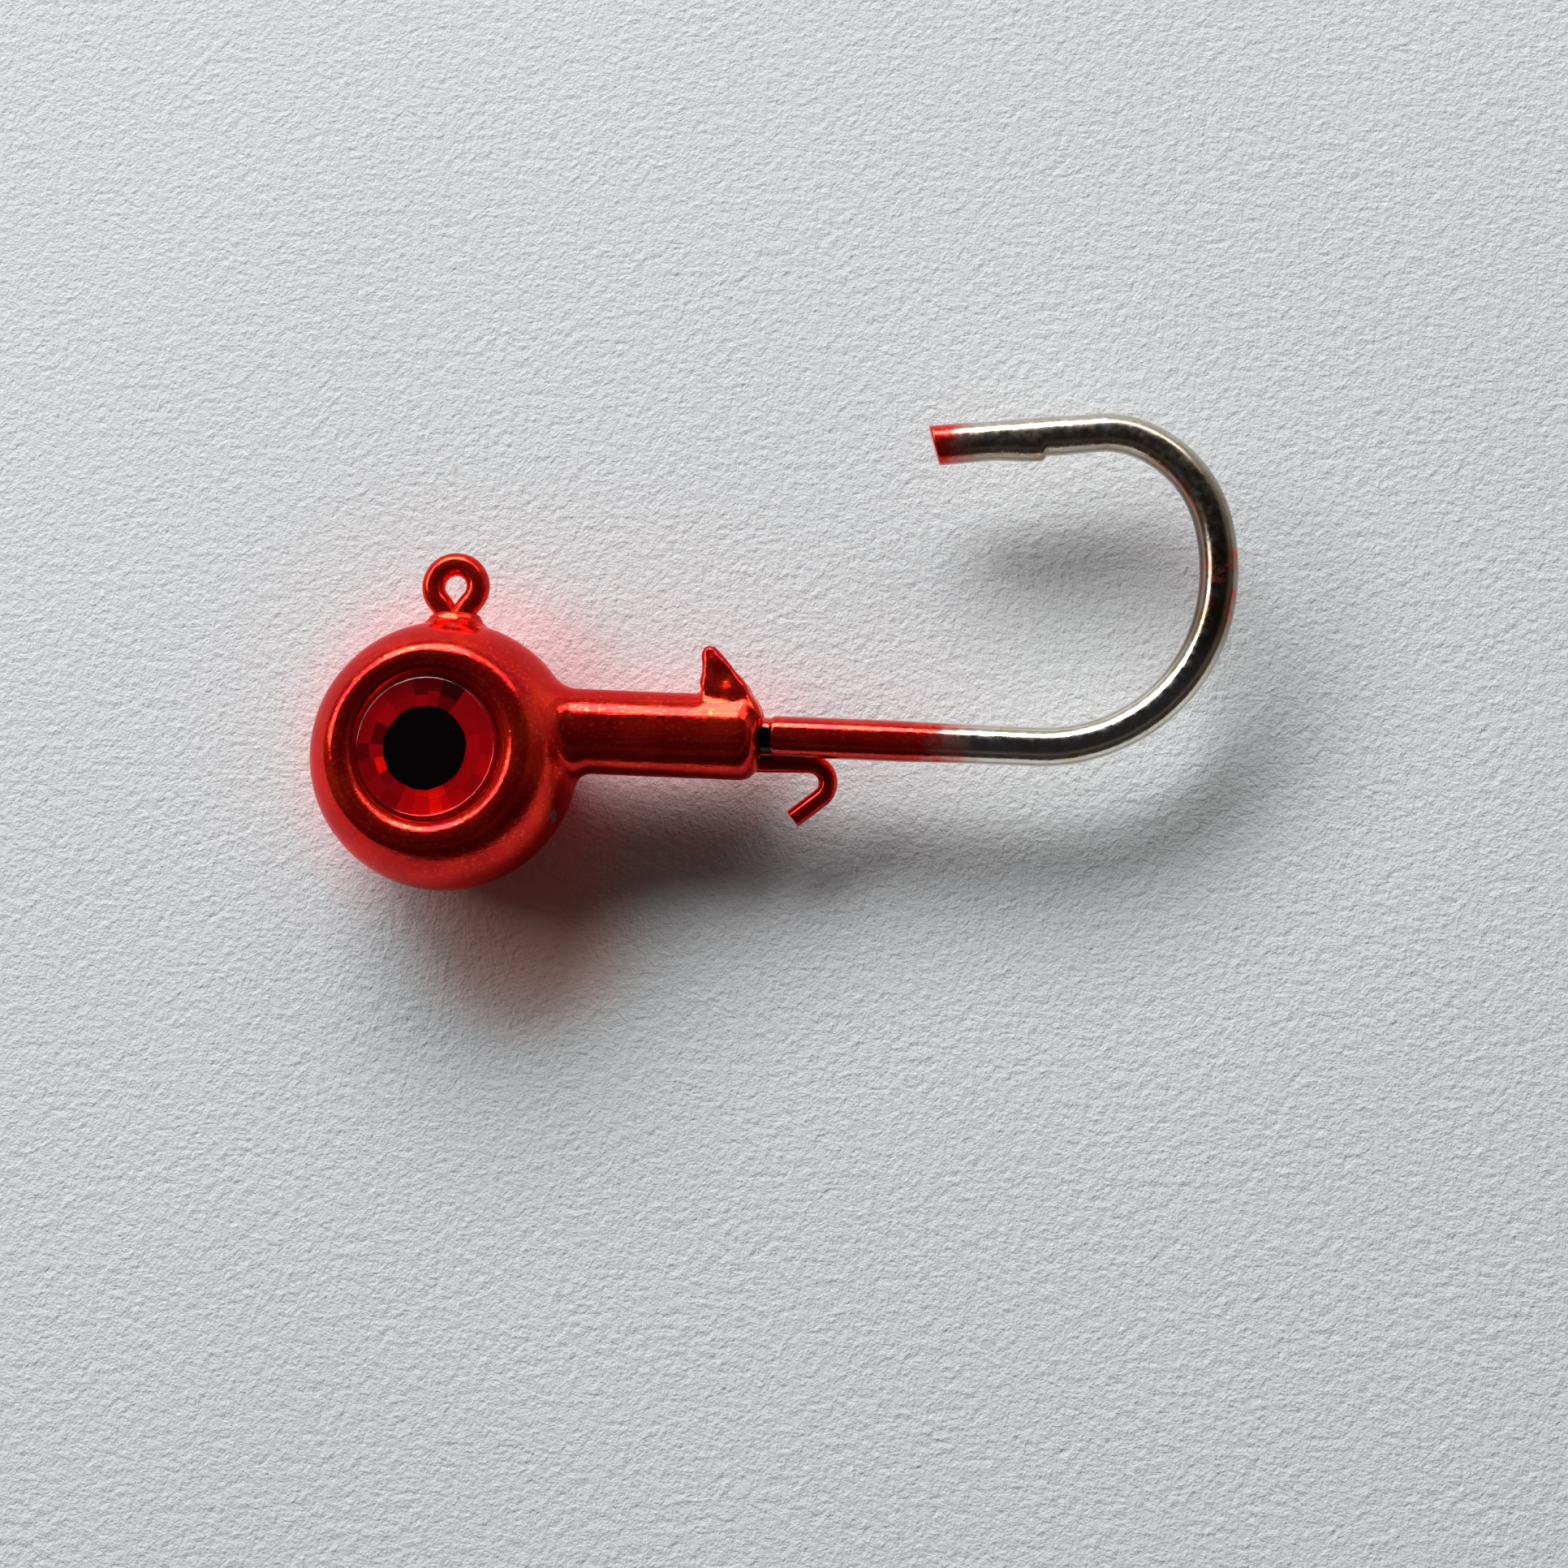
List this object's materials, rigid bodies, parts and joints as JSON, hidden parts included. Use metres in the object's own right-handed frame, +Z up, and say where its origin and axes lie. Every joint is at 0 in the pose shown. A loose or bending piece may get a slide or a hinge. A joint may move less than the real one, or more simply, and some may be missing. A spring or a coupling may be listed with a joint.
{
  "type": "jig head",
  "caption": "Ball-headed fishing jig cast on a heavy hook, with a ringed line tie, a barbed bait collar, a wire keeper and an inset eye on each side.",
  "frame": {"origin": "centre of the lower eye socket's rim, on the plane the jig lies on", "axes": "+X from the ball along the shank to the hook's bend, +Y towards the line tie and the hook's point, +Z up, square to the plane of the hook"},
  "size_m": [0.0337, 0.0177, 0.0057],
  "materials": {
    "lacquered_lead": "gloss",
    "plated_hook": "polished",
    "lacquered_wire": "gloss",
    "eye_adhesive": "satin",
    "eye_foil": "gloss",
    "eye_ink": "matte",
    "eye_cover": "gloss"
  },
  "bodies": {
    "root": {"head_casting": "lacquered_lead", "jig_hook": "plated_hook", "tie_and_keeper_wire": "lacquered_wire", "near_eye_adhesive": "eye_adhesive", "near_eye_foil": "eye_foil", "near_eye_pupil": "eye_ink", "near_eye_cover": "eye_cover", "far_eye_adhesive": "eye_adhesive", "far_eye_foil": "eye_foil", "far_eye_pupil": "eye_ink", "far_eye_cover": "eye_cover"}
  },
  "joints": []
}
